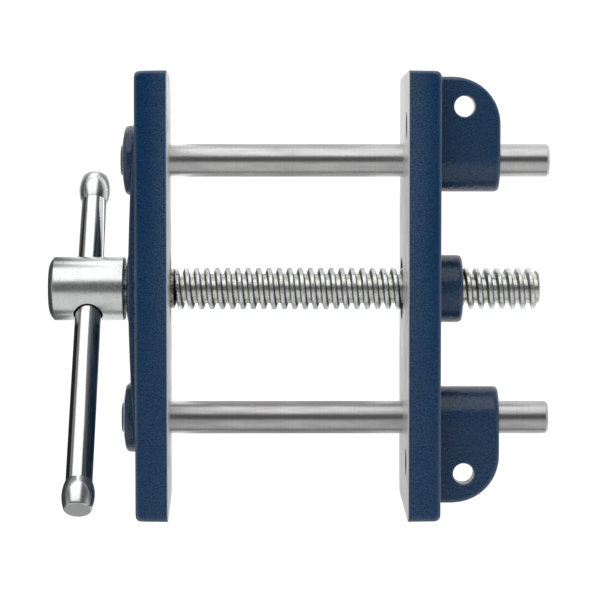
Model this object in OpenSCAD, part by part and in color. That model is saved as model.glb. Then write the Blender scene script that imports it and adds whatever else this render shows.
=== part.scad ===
// Woodworking bench vise: two cast jaws, twin guide rods, a coarse lead screw and a sliding handle bar.
// Origin: midway between the two bench bolts, on the seat faces of the ears.
// +Z is up, +X points away from the operator and under the bench, Y runs along the jaws.

/* [Jaws] */
// Width of both jaws along Y
jaw_w = 165; // [140:1:200]
// Height of both jaws
jaw_h = 76; // [70:1:90]
// Height of the jaw tops above the bench seat
jaw_rise = 41; // [36:1:44]
// Thickness of a jaw plate at its top edge
jaw_t = 12; // [10:0.5:16]
// Gap between the jaws at their top edges, as drawn
opening = 87.8; // [60:0.2:110]
// How far the front jaw leans in at the top, so that it grips there first
toe_in = 2; // [0:0.25:3]
// Draft of the cast end faces, top to bottom, each side
end_draft = 1.5; // [0.5:0.25:3]
// Draft of the cast end faces, inside to outside, each side
side_draft = 0.5; // [0.25:0.25:1]
// Chamfer along the machined gripping edge
grip_chamfer = 0.3; // [0.2:0.1:1.2]
// Radius on the cast outer edges
cast_r = 1.6; // [1:0.1:2.5]
// Radius of the lower corners of a jaw
foot_r = 5; // [3:0.5:8]

/* [Front casting] */
// Rise of the bowed rib in front of the jaw, at mid-width
bow = 4.7; // [3:0.1:6]
// Height of the rib's upper edge over the bench seat
bow_top = 6; // [4:0.5:10]
// Height of the rib
bow_h = 36; // [32:1:38]
// Slope of the rib's upper and lower faces
bow_slope = 2; // [1:0.5:3]
// Diameter of the bosses that hold the guide rods
rod_boss_d = 26.6; // [22:0.2:28]
// Length of those bosses in front of the jaw plate
rod_boss_len = 7.3; // [6:0.1:10]
// Rise of their conical front faces
rod_boss_rise = 0.8; // [0.4:0.1:1.5]
// Slope of those faces, in degrees
rod_boss_slope = 6; // [3:1:8]
// Diameter of the spot-faced pad under the screw head
pad_d = 28; // [26:0.5:32]
// Length of the pad in front of the jaw plate
pad_len = 5.8; // [5.3:0.1:6.2]
// Diameter of the recess round the screw in the gripping face
front_recess_d = 28.5; // [28:0.5:32]
// Depth of that recess at the screw axis
front_recess = 5; // [4.5:0.1:5.5]

/* [Rear casting] */
// Distance from the bolt line to the rear jaw's back face
bolt_back = 11.1; // [9:0.1:14]
// Distance from a bench bolt to the outer edge of its ear
bolt_inset = 11.25; // [9:0.25:14]
// Diameter of the bench bolt holes
bolt_d = 8; // [6:0.5:9]
// Overall width over the two ears
ear_span = 162.5; // [158:0.5:166]
// Reach of the ears behind the bolt line
ear_reach = 13.7; // [11:0.1:18]
// Thickness of the ears
ear_t = 9; // [7:0.5:11]
// Corner radius of the ears
ear_r = 18; // [10:1:20]
// Diameter of the guide bosses
guide_boss_d = 24; // [22:0.5:26]
// Diameter of the nut boss
nut_boss_d = 26; // [25:0.5:30]
// Length of the nut boss behind the jaw plate
nut_boss_len = 11.1; // [9:0.1:16]
// Radius of the cast fillet round the nut boss
boss_fillet = 2; // [1:0.25:2.5]
// Diameter of the recess round the screw in the gripping face
rear_recess_d = 24; // [20:0.5:26]
// Depth of that recess
rear_recess = 3; // [2:0.25:4]
// Spacing of the countersunk screw holes for a wooden facing
facing_spacing = 125; // [115:1:130]
// Height of those holes over the bench seat
facing_rise = 22; // [18:1:26]
// Diameter of those holes
facing_d = 6; // [4:0.5:7]
// Diameter of their countersinks
facing_sink_d = 10.5; // [9:0.5:12]

/* [Guide rods] */
// Diameter of a guide rod
rod_d = 12.5; // [10:0.1:14]
// Spacing of the guide rods
rod_spacing = 99; // [90:1:104]
// How far a rod stands out of its front boss
rod_nose = 0.7; // [0.5:0.1:2]
// Length of a guide rod
rod_len = 163.8; // [140:0.1:200]
// Chamfer on the rod ends
rod_chamfer = 0.9; // [0.5:0.1:1.5]
// Running clearance of a rod in its guide boss, on the radius
rod_fit = 0.06; // [0.03:0.01:0.1]

/* [Lead screw] */
// Depth of the screw axis below the bench seat
screw_drop = 16; // [14:0.5:18]
// Outside diameter of the trapezoidal thread
thread_d = 15.9; // [15:0.1:15.9]
// Pitch of the right-hand thread
pitch = 4; // [3:0.5:5]
// Root diameter of the thread
root_d = 11.3; // [11:0.1:12]
// Diameter of the plain shank that turns in the front jaw
shank_d = 16; // [16:0.1:16.4]
// Running clearance of the shank, on the radius
shank_fit = 0.1; // [0.05:0.01:0.15]
// Diameter of the tenon that carries the head
tenon_d = 14.8; // [13:0.1:15]
// Diameter of the neck between shank and thread
neck_d = 15; // [14:0.1:15.6]
// Length of the plain neck
neck_len = 3.4; // [1.5:0.1:4]
// Length of the cone from the neck down to the thread's root
neck_run = 3; // [2:0.5:4]
// Length of the threaded part
thread_len = 143; // [115:0.5:170]
// Whole turns that the nut's thread runs past each end of the bush
nut_over = 2; // [2:1:4]
// Turn of the thread about the screw axis, as drawn
thread_turn = 322; // [0:1:359]
// Turns over which the thread rises inside the neck
thread_rise = 0.4; // [0.3:0.1:1]
// Turns over which the thread falls towards the screw's end
thread_fall = 1.6; // [1:0.1:2]
// Share of its depth that the thread still has at the screw's end
thread_stub = 0.3; // [0.2:0.05:0.6]
// Facets in one turn of the thread
thread_facets = 16; // [14:2:20]
// Outside diameter of the threaded bush
nut_d = 20; // [19:0.2:21]
// Radial clearance between the threads
thread_play_r = 0.3; // [0.25:0.05:0.4]
// Axial clearance between the thread flanks
thread_play_x = 0.25; // [0.2:0.05:0.35]
// Thickness of the thrust washer
washer_t = 1.5; // [1:0.1:1.6]
// Outside diameter of the thrust washer
washer_d = 26; // [24:0.5:27]
// Thickness of the retaining ring
ring_t = 1.5; // [1:0.1:1.5]
// Outside diameter of the retaining ring
ring_d = 21; // [19:0.5:23]
// Diameter of the ring groove
groove_d = 13; // [12.5:0.1:13.5]

/* [Head and bar] */
// Diameter of the screw head
head_d = 24.5; // [23:0.5:27]
// Length of the screw head
head_len = 29.2; // [28:0.1:36]
// Gap between the head and its pad
head_gap = 1.1; // [0.6:0.1:2]
// Diameter of the handle bar
bar_d = 10; // [8:0.2:10.4]
// How far the cross hole is off the middle of the head, towards the jaw
bar_offset = 0.7; // [0:0.1:2]
// Diameter of the cross hole for the bar
bar_hole_d = 11.3; // [11.1:0.1:11.6]
// Distance between the middles of the two end knobs
bar_span = 139.5; // [120:0.1:180]
// How far the bar is slid out of its middle, as drawn
bar_shift = 22.5; // [0:0.1:30]
// Turn of the bar about the screw axis, as drawn
bar_turn = 38; // [0:1:90]
// Greatest diameter of an end knob
knob_d = 12.3; // [12.1:0.1:14]
// Length of an end knob
knob_len = 11.7; // [9:0.1:14]
// Diameter of the flat faces of an end knob
knob_face_d = 10.3; // [10.1:0.1:10.8]
// Diameter of the bar's tenon in a knob
knob_tenon_d = 7; // [6:0.2:8]

/* [Hidden] */
$fn = 96;
eps = 0.5;

jaw_top = jaw_rise;
jaw_foot = jaw_rise - jaw_h;
back_x = -bolt_back;
rear_x = back_x - jaw_t;
front_x = rear_x - opening;
plate_x = front_x - jaw_t;

guide_z = -guide_boss_d / 2;
rod_y = rod_spacing / 2;
rod_boss_x = plate_x - rod_boss_len;
rod_x = rod_boss_x - rod_nose;
bolt_y = ear_span / 2 - bolt_inset;

screw_z = -screw_drop;
pad_x = plate_x - pad_len;
head_x = pad_x - head_gap;
bar_x = head_x - head_len / 2 + bar_offset;
bore_d = shank_d + 2 * shank_fit;

// the gripping face at the height of the screw, behind the toed-in top edge
face_x = front_x - toe_in * (jaw_top - screw_z) / jaw_h;
recess_x = face_x - front_recess;
washer_gap = 0.1;
washer_x = recess_x + washer_gap;
groove_x = washer_x + washer_t + washer_gap;
shank_end = groove_x + ring_t + 1.1;
neck_end = shank_end + neck_len;
tenon_wall = 0.7;
tenon_len = head_x - bar_x - bar_hole_d / 2 - tenon_wall;
tenon_x = pad_x + 1.6;

thread_depth = (thread_d - root_d) / 2;
flank_w = thread_depth * tan(15);
crest_w = (pitch - 2 * flank_w) / 2;
thread_x = shank_end;
thread_turns = floor((thread_len - 2 * flank_w - crest_w) / pitch);

nut_shoulder = 3;
nut_x = rear_x + rear_recess + nut_shoulder;
nut_end = back_x + nut_boss_len;
nut_bore_d = thread_d + 1.2;
nut_first = floor((nut_x - thread_x) / pitch) - nut_over;
nut_turns = ceil((nut_end - nut_x) / pitch) + 2 * nut_over;

bow_radius = (pow(jaw_w / 2, 2) + pow(bow, 2)) / (2 * bow);
knob_in = bar_span / 2 - knob_len / 2;
knob_sag = (knob_d - knob_face_d) / 2;
knob_radius = (pow(knob_len / 2, 2) + pow(knob_sag, 2)) / (2 * knob_sag);
knob_tenon = knob_len * 0.7;

cast_paint = [0.14, 0.23, 0.34];
bright_steel = [0.80, 0.81, 0.82];
zinc_steel = [0.74, 0.73, 0.68];
bush_metal = [0.62, 0.55, 0.38];

// points along a round corner
function arc(centre, r, from, to, steps = 6) =
    [for (i = [0 : steps]) let (a = from + (to - from) * i / steps) centre + r * [cos(a), sin(a)]];

// puts a shape that was drawn along +Z on an axis along +X
module along_x(x, y, z) {
    translate([x, y, z]) rotate([0, 90, 0]) children();
}

// a round bar along +X with a chamfer at each end
module round_bar(x0, x1, d, nose, tail, y, z) {
    along_x(x0, y, z) rotate_extrude()
        polygon([[0, 0], [d / 2 - nose, 0], [d / 2, nose], [d / 2, x1 - x0 - tail], [d / 2 - tail, x1 - x0],
            [0, x1 - x0]]);
}

// plan of a jaw plate: sharp machined face at x = 0, drafted ends, round cast corners outside
module jaw_plan() {
    half = jaw_w / 2;
    out = half - side_draft;
    polygon(concat([[-eps, half], [-eps, -half], [0, -half]],
        arc([jaw_t - cast_r, -out + cast_r], cast_r, -90, 0),
        arc([jaw_t - cast_r, out - cast_r], cast_r, 0, 90),
        [[0, half]]));
}

// section of a jaw plate: chamfered gripping edge, leaning face, round cast edges outside
module jaw_section(lean) {
    polygon(concat([[lean, 0]], arc([jaw_t - cast_r, cast_r], cast_r, -90, 0),
        arc([jaw_t - cast_r, jaw_h - cast_r], cast_r, 0, 90),
        [[grip_chamfer, jaw_h], [lean * grip_chamfer / jaw_h, jaw_h - grip_chamfer]]));
}

// elevation of a jaw plate: drafted sides and round lower corners
module jaw_elevation() {
    top = jaw_w / 2;
    foot = top - end_draft;
    lift = end_draft * foot_r / jaw_h;
    polygon(concat([[top, jaw_h], [-top, jaw_h]], arc([-foot - lift + foot_r, foot_r], foot_r, 180, 270),
        arc([foot + lift - foot_r, foot_r], foot_r, 270, 360)));
}

// cast jaw plate, gripping face towards -X at x = 0, foot at z = 0
module jaw_plate(lean) {
    intersection() {
        linear_extrude(jaw_h) jaw_plan();
        rotate([90, 0, 0]) linear_extrude(jaw_w + 2, center = true) jaw_section(lean);
        translate([-eps, 0, 0]) rotate([90, 0, 90]) linear_extrude(jaw_t + 2 * eps) jaw_elevation();
    }
}

// bowed rib across the front jaw, a slice of a large upright cylinder with drafted faces
module bow_rib() {
    reach = bow + eps;
    intersection() {
        translate([plate_x - bow + bow_radius, 0, jaw_foot]) cylinder(r = bow_radius, h = jaw_h, $fn = 720);
        translate([plate_x + eps, 0, 0]) rotate([90, 0, 0])
            linear_extrude(jaw_w - 2 * end_draft - 2, center = true)
            polygon([[0, bow_top], [-reach - eps, bow_top - bow_slope],
                [-reach - eps, bow_top - bow_h + bow_slope], [0, bow_top - bow_h]]);
    }
}

// front boss of one guide rod, turned section with a conical face and a round edge
module rod_boss(y) {
    r = rod_boss_d / 2;
    len = rod_boss_len - rod_boss_rise;
    along_x(rod_boss_x, y, guide_z) rotate_extrude()
        polygon(concat([[0, rod_boss_rise + len + 1], [0, 0], [rod_d / 2 + 1, 0]],
            arc([r - cast_r, rod_boss_rise + cast_r], cast_r, rod_boss_slope - 90, 0),
            [[r, rod_boss_rise + len + 1]]));
}

module front_jaw() {
    color(cast_paint) difference() {
        union() {
            translate([front_x, 0, jaw_foot]) mirror([1, 0, 0]) jaw_plate(toe_in);
            bow_rib();
            for (side = [-1, 1]) rod_boss(side * rod_y);
            along_x(pad_x, 0, screw_z) cylinder(d = pad_d, h = pad_len + 1);
        }
        for (side = [-1, 1]) along_x(rod_boss_x - 1, side * rod_y, guide_z)
            cylinder(d = rod_d, h = rod_boss_len + jaw_t + 2);
        along_x(pad_x - 1, 0, screw_z) cylinder(d = bore_d, h = pad_len + jaw_t + 2);
        along_x(recess_x, 0, screw_z) cylinder(d = front_recess_d, h = front_recess + toe_in + 1);
        for (side = [-1, 1]) facing_hole(plate_x, side * facing_spacing / 2, 1);
    }
}

// countersunk through hole; the cone opens on the face at x, towards -X
module facing_hole(x, y, over) {
    sink = (facing_sink_d - facing_d) / 2;
    along_x(x - over, y, facing_rise) cylinder(d = facing_d, h = jaw_t + 2 * over + 1);
    along_x(x - over, y, facing_rise) cylinder(d1 = facing_sink_d + 2 * over, d2 = facing_d, h = sink + over);
}

// cast fillet where a round boss of diameter d leaves a flat face at x, towards +X
module boss_cove(x, d, r, y, z) {
    along_x(x, y, z) rotate_extrude()
        polygon(concat([[d / 2 - eps, r], [d / 2 - eps, -eps], [d / 2 + r, -eps]],
            arc([d / 2 + r, r], r, 270, 180)));
}

// bolt ear seen from above, on the +Y side
module ear_plan() {
    x0 = back_x - 1;
    x1 = ear_reach;
    y1 = ear_span / 2;
    union() {
        translate([x0, rod_y]) square([x1 - ear_r - x0, y1 - rod_y]);
        translate([x0, rod_y]) square([x1 - x0, y1 - ear_r - rod_y]);
        translate([x1 - ear_r, y1 - ear_r]) intersection() {
            circle(r = ear_r);
            square(ear_r);
        }
    }
}

// ear and guide boss of one side; the seat face runs off the crown of the boss
module ear(side) {
    mirror([0, side < 0 ? 1 : 0, 0]) {
        translate([0, 0, -ear_t]) linear_extrude(ear_t) ear_plan();
        along_x(back_x - 1, rod_y, guide_z) cylinder(d = guide_boss_d, h = ear_reach - back_x + 1);
    }
}

module rear_jaw() {
    edge = 1;
    color(cast_paint) difference() {
        union() {
            translate([rear_x, 0, jaw_foot]) jaw_plate(0);
            for (side = [-1, 1]) ear(side);
            round_bar(back_x - 1, nut_end, nut_boss_d, 0, edge, 0, screw_z);
            boss_cove(back_x, nut_boss_d, boss_fillet, 0, screw_z);
        }
        for (side = [-1, 1]) translate([0, side * bolt_y, -ear_t - 1]) cylinder(d = bolt_d, h = ear_t + 2);
        for (side = [-1, 1]) along_x(rear_x - 1, side * rod_y, guide_z)
            cylinder(d = rod_d + 2 * rod_fit, h = ear_reach - rear_x + 2);
        along_x(rear_x - 1, 0, screw_z) cylinder(d = rear_recess_d, h = rear_recess + 1);
        along_x(rear_x, 0, screw_z) cylinder(d = nut_bore_d, h = nut_x - rear_x + 1);
        along_x(nut_x, 0, screw_z) cylinder(d = nut_d, h = nut_end - nut_x + 1);
        for (side = [-1, 1]) facing_hole(rear_x, side * facing_spacing / 2, 1);
    }
}

// Right-hand trapezoidal thread on a round core, along +X from x.
// Four helices A, B, C, D trace root, crest, crest, root; they rise from the root and fall towards the end.
module thread(x, turns, r_root, depth, flank, crest, fall) {
    n = thread_facets;
    last = turns * n;
    lead = 1.5;
    tail = 0.2;
    top = last / n * pitch + 2 * flank + crest;
    offsets = [0, flank, flank + crest, 2 * flank + crest];
    function fade(s) = thread_stub + (1 - thread_stub) * (last - s) / n / fall;
    function rise(s) = depth * min(1, s / n / thread_rise, fade(s));
    function at(s, r, z) = [r * cos(360 * s / n), r * sin(360 * s / n), z];
    function id(k, s) = k * (last + 1) + s;
    function low(s) = 4 * (last + 1) + s % n;
    function high(s) = low(s) + n;
    helices = [for (k = [0 : 3]) for (s = [0 : last])
        at(s, r_root + (k == 1 || k == 2 ? rise(s) : 0), s / n * pitch + offsets[k])];
    ends = [for (z = [-lead, top + tail]) for (s = [0 : n - 1]) at(s, r_root, z)];
    crests = [for (s = [0 : last - 1]) [id(1, s), id(2, s), id(2, s + 1), id(1, s + 1)]];
    roots = [for (s = [0 : last - n - 1]) [id(3, s), id(0, s + n), id(0, s + n + 1), id(3, s + 1)]];
    flanks = [for (k = [0, 2]) for (s = [0 : last - 1]) for (t = [0, 1])
        t == 0 ? [id(k, s), id(k + 1, s), id(k + 1, s + 1)] : [id(k, s), id(k + 1, s + 1), id(k, s + 1)]];
    start = concat([for (s = [0 : n - 2]) [low(s), id(0, s), id(0, s + 1), low(s + 1)]],
        [[low(n - 1), id(0, n - 1), id(0, n), id(3, 0), id(2, 0), id(1, 0), id(0, 0), low(0)]]);
    finish = concat([for (s = [1 : n - 1])
        [id(3, last - n + s), high(s), high(s + 1), id(3, last - n + s + 1)]],
        [[high(1), id(3, last - n + 1), id(3, last - n), id(0, last), id(3, last), high(0)],
            [id(3, last), id(0, last), id(1, last), id(2, last)]]);
    caps = [[for (s = [0 : n - 1]) low(s)], [for (s = [n - 1 : -1 : 0]) high(s)]];
    along_x(x, 0, screw_z) rotate([0, 0, thread_turn])
        polyhedron(concat(helices, ends), concat(crests, roots, flanks, start, finish, caps), convexity = 10);
}

module lead_screw() {
    x0 = head_x - tenon_len;
    color(zinc_steel) union() {
        along_x(x0, 0, screw_z) rotate_extrude()
            polygon([[0, 0], [tenon_d / 2, 0], [tenon_d / 2, tenon_x - x0], [shank_d / 2, tenon_x - x0],
                [shank_d / 2, groove_x - x0], [groove_d / 2, groove_x - x0],
                [groove_d / 2, groove_x + ring_t - x0], [shank_d / 2, groove_x + ring_t - x0],
                [shank_d / 2, shank_end - x0], [neck_d / 2, shank_end - x0],
                [neck_d / 2, neck_end - x0], [root_d / 2 - eps, neck_end + neck_run - x0],
                [0, neck_end + neck_run - x0]]);
        thread(thread_x, thread_turns, root_d / 2, thread_depth, flank_w, crest_w, thread_fall);
    }
}

module screw_nut() {
    slip = flank_w * thread_play_r / thread_depth;
    color(bush_metal) difference() {
        along_x(nut_x, 0, screw_z) cylinder(d = nut_d, h = nut_end - nut_x);
        thread(thread_x + nut_first * pitch + slip - thread_play_x, nut_turns, root_d / 2 + thread_play_r,
            thread_depth, flank_w, crest_w + 2 * thread_play_x - 2 * slip, 1);
    }
}

// flat ring on the screw axis
module flat_ring(x, d_in, d_out, t) {
    difference() {
        along_x(x, 0, screw_z) cylinder(d = d_out, h = t);
        along_x(x - 1, 0, screw_z) cylinder(d = d_in, h = t + 2);
    }
}

module thrust_washer() {
    color(zinc_steel) flat_ring(washer_x, bore_d, washer_d, washer_t);
}

module retaining_ring() {
    color(bright_steel) flat_ring(groove_x, groove_d, ring_d, ring_t);
}

module guide_rod(side) {
    color(bright_steel)
        round_bar(rod_x, rod_x + rod_len, rod_d, rod_chamfer / 2, rod_chamfer, side * rod_y, guide_z);
}

module guide_rod_left() {
    guide_rod(-1);
}

module guide_rod_right() {
    guide_rod(1);
}

// places a shape drawn along +Z on the bar axis, at a distance from the bar's middle towards its long end
module on_bar(at) {
    translate([bar_x, 0, screw_z]) rotate([90 - bar_turn, 0, 0]) translate([0, 0, bar_shift + at]) children();
}

module screw_head() {
    face = 2.2;
    slope = 3.2;
    edge = 0.6;
    color(bright_steel) difference() {
        along_x(head_x - head_len, 0, screw_z) rotate_extrude()
            polygon([[0, 0], [head_d / 2 - slope, 0], [head_d / 2, face], [head_d / 2, head_len - edge],
                [head_d / 2 - edge, head_len], [0, head_len]]);
        along_x(head_x - tenon_len, 0, screw_z) cylinder(d = tenon_d, h = tenon_len + 1);
        on_bar(-bar_shift - head_d) cylinder(d = bar_hole_d, h = 2 * head_d);
    }
}

module handle_bar() {
    color(bright_steel) on_bar(0) union() {
        cylinder(d = bar_d, h = 2 * knob_in, center = true);
        cylinder(d = knob_tenon_d, h = 2 * (knob_in + knob_tenon), center = true);
    }
}

// barrel-shaped end knob from z = 0, bored for the bar's tenon
module knob() {
    difference() {
        rotate_extrude() intersection() {
            translate([knob_d / 2 - knob_radius, knob_len / 2]) circle(r = knob_radius, $fn = 240);
            square([knob_d, knob_len]);
        }
        translate([0, 0, -1]) cylinder(d = knob_tenon_d, h = knob_tenon + 1);
    }
}

module knob_long() {
    color(bright_steel) on_bar(knob_in) knob();
}

module knob_short() {
    color(bright_steel) on_bar(-knob_in) mirror([0, 0, 1]) knob();
}

rear_jaw();
screw_nut();
front_jaw();
guide_rod_left();
guide_rod_right();
lead_screw();
thrust_washer();
retaining_ring();
screw_head();
handle_bar();
knob_long();
knob_short();
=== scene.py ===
import math

import bmesh
import bpy
from mathutils import Matrix, Vector


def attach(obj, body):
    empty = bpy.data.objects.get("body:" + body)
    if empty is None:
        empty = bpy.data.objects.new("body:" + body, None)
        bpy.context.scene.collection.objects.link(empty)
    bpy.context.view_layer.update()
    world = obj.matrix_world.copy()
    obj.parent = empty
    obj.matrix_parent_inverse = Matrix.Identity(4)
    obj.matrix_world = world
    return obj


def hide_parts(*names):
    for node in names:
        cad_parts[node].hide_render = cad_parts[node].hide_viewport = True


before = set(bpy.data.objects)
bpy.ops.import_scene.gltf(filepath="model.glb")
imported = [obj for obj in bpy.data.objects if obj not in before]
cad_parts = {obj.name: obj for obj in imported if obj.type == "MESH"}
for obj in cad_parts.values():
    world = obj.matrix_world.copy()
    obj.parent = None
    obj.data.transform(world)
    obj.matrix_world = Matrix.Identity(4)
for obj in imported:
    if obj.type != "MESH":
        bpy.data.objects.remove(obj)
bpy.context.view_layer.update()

# Rear jaw
# One iron casting: jaw plate, two bolt ears, two guide bosses and the nut boss, sand cast with round edges.
# Sprayed dark blue all over, the recess round the screw too; its gripping face and bores are machined bare.
MM = 0.001
SAME_PLACE = 1e-4
BALL_STEP = 30
CAST_VOXEL = 0.7 * MM
CAST_SOFTENING = 0.5
CAST_PASSES = 2
SHARP_ANGLE = math.radians(32)

JAW_HALF = 82.5
JAW_TOP = 41.0
JAW_FOOT = -35.0
CAST_R = 1.6
PLATE_EDGE_R = 1.0
PLATE_CORNER_R = 2.0
FOOT_R = 5.0
END_DRAFT = 1.5
SIDE_DRAFT = 0.2
GRIP_CHAMFER = 0.3
CAST_SHRINK = 0.05
FACE_STOCK = 4.0
BOSS_ROOT = 3.0
SCREW_Z = -16.0
ROD_Y = 49.5
ROD_Z = -12.0
ROD_R = 6.25
FACING_Y = 62.5
FACING_Z = 22.0
FACING_R = 3.0
FACING_SINK_R = 5.25
FACING_DEPTH = 20.0

REAR_FACE_X = -23.1
REAR_BACK_X = -11.1
EAR_END_X = 13.7
EAR_HALF = 81.25
EAR_R = 18.0
EAR_T = 9.0
EAR_EDGE_R = 1.0
GUIDE_BOSS_R = 12.0
GUIDE_PLAY = 0.06
NUT_BOSS_R = 13.0
NUT_BOSS_END_X = 0.0
NUT_SEAT_X = -17.1
NUT_R = 10.0
SCREW_HOLE_R = 8.55
RECESS_R = 12.0
RECESS_X = -20.1
PRESS_PLAY = 0.02
BOLT_Y = 70.0
BOLT_R = 4.0
BOLT_EDGE = 0.4

CUT_HALF = 120.0
CUT_FOOT = -80.0
CUT_TOP = JAW_TOP + 5
CHAMFER_OVER = 3.0
HOLE_OVER = 1.0
REAR_CUT_X = -60.0
REAR_BORE_START = -40.0
REAR_BORE_END = 30.0
NUT_BORE_END = 5.0


def arc(centre_x, centre_r, radius, first, last, steps=6):
    """Points of a round corner, as (along, out) pairs."""
    turn = [math.radians(first + (last - first) * i / steps) for i in range(steps + 1)]
    return [(centre_x + radius * math.cos(a), centre_r + radius * math.sin(a)) for a in turn]


def as_piece(name, drawing, *finishes):
    """Turns a drawing in millimetres into a mesh object in metres, with its faces outwards."""
    bmesh.ops.recalc_face_normals(drawing, faces=drawing.faces)
    drawing.transform(Matrix.Scale(MM, 4))
    mesh = bpy.data.meshes.new(name)
    drawing.to_mesh(mesh)
    drawing.free()
    for finish in finishes:
        mesh.materials.append(finish)
    piece = bpy.data.objects.new(name, mesh)
    bpy.context.scene.collection.objects.link(piece)
    return piece


def soft_shaded(mesh):
    """Shades a mesh smooth all over except at its sharp edges."""
    mesh.shade_smooth()
    mesh.set_sharp_from_angle(angle=SHARP_ANGLE)


def add_rounded_block(drawing, corners, radius):
    """Adds the hull of balls set on the corners: a cast block with round edges."""
    block = bmesh.new()
    for corner in corners:
        for level in range(-90, 91, BALL_STEP):
            for around in range(0, 360, BALL_STEP):
                e, a = math.radians(level), math.radians(around)
                ball = Vector((math.cos(e) * math.cos(a), math.cos(e) * math.sin(a), math.sin(e)))
                block.verts.new(Vector(corner) + radius * ball)
    bmesh.ops.remove_doubles(block, verts=block.verts, dist=SAME_PLACE)
    hull = bmesh.ops.convex_hull(block, input=block.verts)
    left_over = hull["geom_interior"] + hull["geom_unused"]
    loose = {v for v in left_over if isinstance(v, bmesh.types.BMVert)}
    bmesh.ops.delete(block, geom=list(loose), context="VERTS")
    carrier = bpy.data.meshes.new("block")
    block.to_mesh(carrier)
    block.free()
    drawing.from_mesh(carrier)
    bpy.data.meshes.remove(carrier)


def add_turned(drawing, profile, place, segments=96, finishes=None):
    """Adds a turned solid: (along, radius) points round the local X axis, from the axis back to the axis."""
    angles = [2 * math.pi * i / segments for i in range(segments)]
    rings = []
    for along, radius in profile:
        if radius < SAME_PLACE:
            rings.append([drawing.verts.new(place @ Vector((along, 0, 0)))])
            continue
        points = [Vector((along, radius * math.cos(a), radius * math.sin(a))) for a in angles]
        rings.append([drawing.verts.new(place @ point) for point in points])
    for number, (ring, after) in enumerate(zip(rings, rings[1:])):
        for i in range(segments):
            k = (i + 1) % segments
            corners = [ring[i % len(ring)], ring[k % len(ring)], after[k % len(after)], after[i % len(after)]]
            face = drawing.faces.new(list(dict.fromkeys(corners)))
            face.material_index = finishes[number] if finishes else 0


def along_x(y, z):
    """Place of something turned round a line along X."""
    return Matrix.Translation((0, y, z))


def add_jaw_plate(drawing, outer_x, inner_x):
    """Adds a jaw plate with drafted ends, round outer edges and round lower corners."""
    out = 1 if outer_x > inner_x else -1
    half = JAW_HALF + CAST_SHRINK
    bend = arc(PLATE_CORNER_R, 0, PLATE_CORNER_R - PLATE_EDGE_R, 180, 90, 3)
    plan = [(outer_x - out * along, half - SIDE_DRAFT - (PLATE_CORNER_R - aside)) for along, aside in bend]
    plan.append((inner_x - out * FACE_STOCK, half - PLATE_EDGE_R))
    corners = []
    for x, edge_y in plan:
        foot_y = edge_y - END_DRAFT + PLATE_EDGE_R - FOOT_R
        low = arc(foot_y, JAW_FOOT + FOOT_R, FOOT_R - PLATE_EDGE_R, 0, -90, 4)
        for y, z in low + [(edge_y, JAW_TOP - PLATE_EDGE_R)]:
            corners += [(x, -y, z), (x, y, z)]
    add_rounded_block(drawing, corners, PLATE_EDGE_R)


def boss_profile(root_x, end_x, radius):
    """Turned profile of a cast boss that stands out towards +X, with a round edge."""
    edge = arc(end_x - CAST_R, radius - CAST_R, CAST_R, 90, 0)
    return [(root_x, 0), (root_x, radius)] + edge + [(end_x, 0)]


def add_long_cut(drawing, section):
    """Adds a straight cutter with an (x, z) section, right along the jaw."""
    ends = [[drawing.verts.new((x, y, z)) for x, z in section] for y in (-CUT_HALF, CUT_HALF)]
    for end in ends:
        drawing.faces.new(end)
    count = len(section)
    for i in range(count):
        k = (i + 1) % count
        drawing.faces.new((ends[0][i], ends[0][k], ends[1][k], ends[1][i]))


def chamfer_section(edge_x, inward):
    """Section of the cutter for the gripping edge at edge_x; inward is 1 where the iron lies towards +X."""
    free_x = edge_x - inward * CHAMFER_OVER
    return [(free_x, JAW_TOP - GRIP_CHAMFER - CHAMFER_OVER),
            (edge_x + inward * (GRIP_CHAMFER + CHAMFER_OVER), JAW_TOP + CHAMFER_OVER),
            (free_x, JAW_TOP + CHAMFER_OVER)]


def bore_profile(start, end, radius):
    """Turned profile of a plain bore."""
    return [(start, 0), (start, radius), (end, radius), (end, 0)]


def stepped_bore(start, step, end, narrow, wide):
    """Turned profile of a bore that widens at a step."""
    return [(start, 0), (start, narrow), (step, narrow), (step, wide), (end, wide), (end, 0)]


def facing_hole(face_x):
    """Turned profile of a countersunk hole that opens on the face at face_x, towards -X."""
    mouth_x = face_x - HOLE_OVER
    return [(mouth_x, 0), (mouth_x, FACING_SINK_R + HOLE_OVER), (face_x + FACING_SINK_R - FACING_R, FACING_R),
            (face_x + FACING_DEPTH, FACING_R), (face_x + FACING_DEPTH, 0)]


def cut_with(piece, tool, operation="DIFFERENCE"):
    """Cuts a piece with a tool, and gives the cut its finish; INTERSECT keeps what lies inside the tool."""
    cut = piece.modifiers.new(tool.name, "BOOLEAN")
    cut.operation = operation
    cut.solver = "MANIFOLD"
    cut.material_mode = "TRANSFER"
    cut.object = tool


def settle(piece, *tools):
    """Keeps what a piece's modifiers make as a plain mesh, and removes the tools that cut it."""
    bpy.context.view_layer.update()
    depsgraph = bpy.context.evaluated_depsgraph_get()
    mesh = bpy.data.meshes.new_from_object(piece.evaluated_get(depsgraph))
    piece.modifiers.clear()
    piece.data = mesh
    for tool in tools:
        bpy.data.objects.remove(tool)
    soft_shaded(mesh)


def feed(tree, node, **inputs):
    """Sets a node's inputs to constants or other nodes' sockets; in a name, _ stands for a space."""
    for name, value in inputs.items():
        numbered = name[0] == "i" and name[1:].isdigit()
        socket = node.inputs[int(name[1:]) if numbered else name.replace("_", " ")]
        if isinstance(value, bpy.types.NodeSocket):
            tree.links.new(value, socket)
        else:
            socket.default_value = value


def wire(tree, kind, settings=None, **inputs):
    """Adds a node with its settings and inputs."""
    node = tree.nodes.new(kind)
    for name, value in (settings or {}).items():
        setattr(node, name, value)
    feed(tree, node, **inputs)
    return node


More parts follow.
